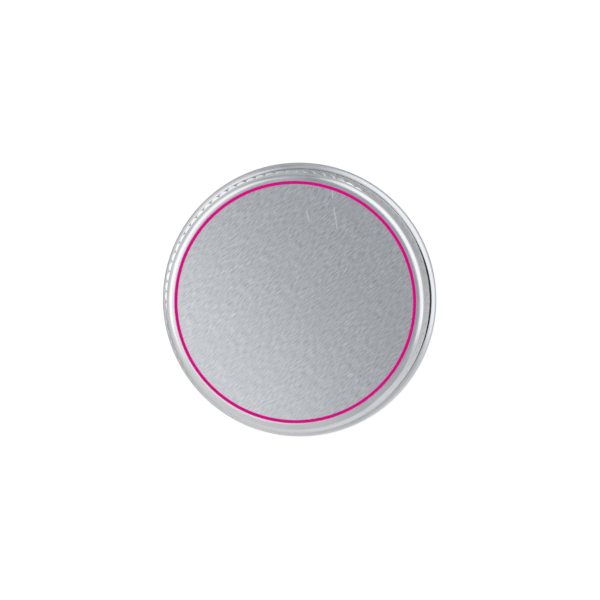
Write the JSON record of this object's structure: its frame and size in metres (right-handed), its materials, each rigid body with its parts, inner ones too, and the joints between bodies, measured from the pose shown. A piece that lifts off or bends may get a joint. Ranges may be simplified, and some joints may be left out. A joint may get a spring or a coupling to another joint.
{
  "type": "lip balm tin",
  "caption": "Round aluminium lip balm tin with a ribbed screw lid, rolled edges, a foam sealing liner and poured balm in the base.",
  "frame": {"origin": "middle of the foot ring, on the plane the tin stands on", "axes": "+Z up along the tin's axis, out through the lid; +X to the right and +Y up in the picture, which looks down on the lid"},
  "size_m": [0.038, 0.038, 0.0165],
  "materials": {
    "base_aluminium": "satin",
    "balm_wax": "waxy satin",
    "lid_aluminium": "fine brushed satin",
    "liner_foam": "matte closed-cell foam"
  },
  "bodies": {
    "base": {"tin_base": "base_aluminium", "balm": "balm_wax"},
    "liner": {"lid_liner": "liner_foam"},
    "lid": {"lid_shell": "lid_aluminium"}
  },
  "joints": [
    {"name": "lid_lift", "type": "slide", "parent": "base", "child": "liner", "axis": [0, 0, 1], "range_m": [0, 0.012]},
    {"name": "lid_turn", "type": "hinge", "parent": "liner", "child": "lid", "pos_m": [0, 0, 0.0123], "axis": [0, 0, 1], "range_deg": [0, 1440]}
  ],
  "couplings": [
    {"joint": "lid_lift", "follows": "lid_turn", "m_per_rad": 0.00047746}
  ]
}
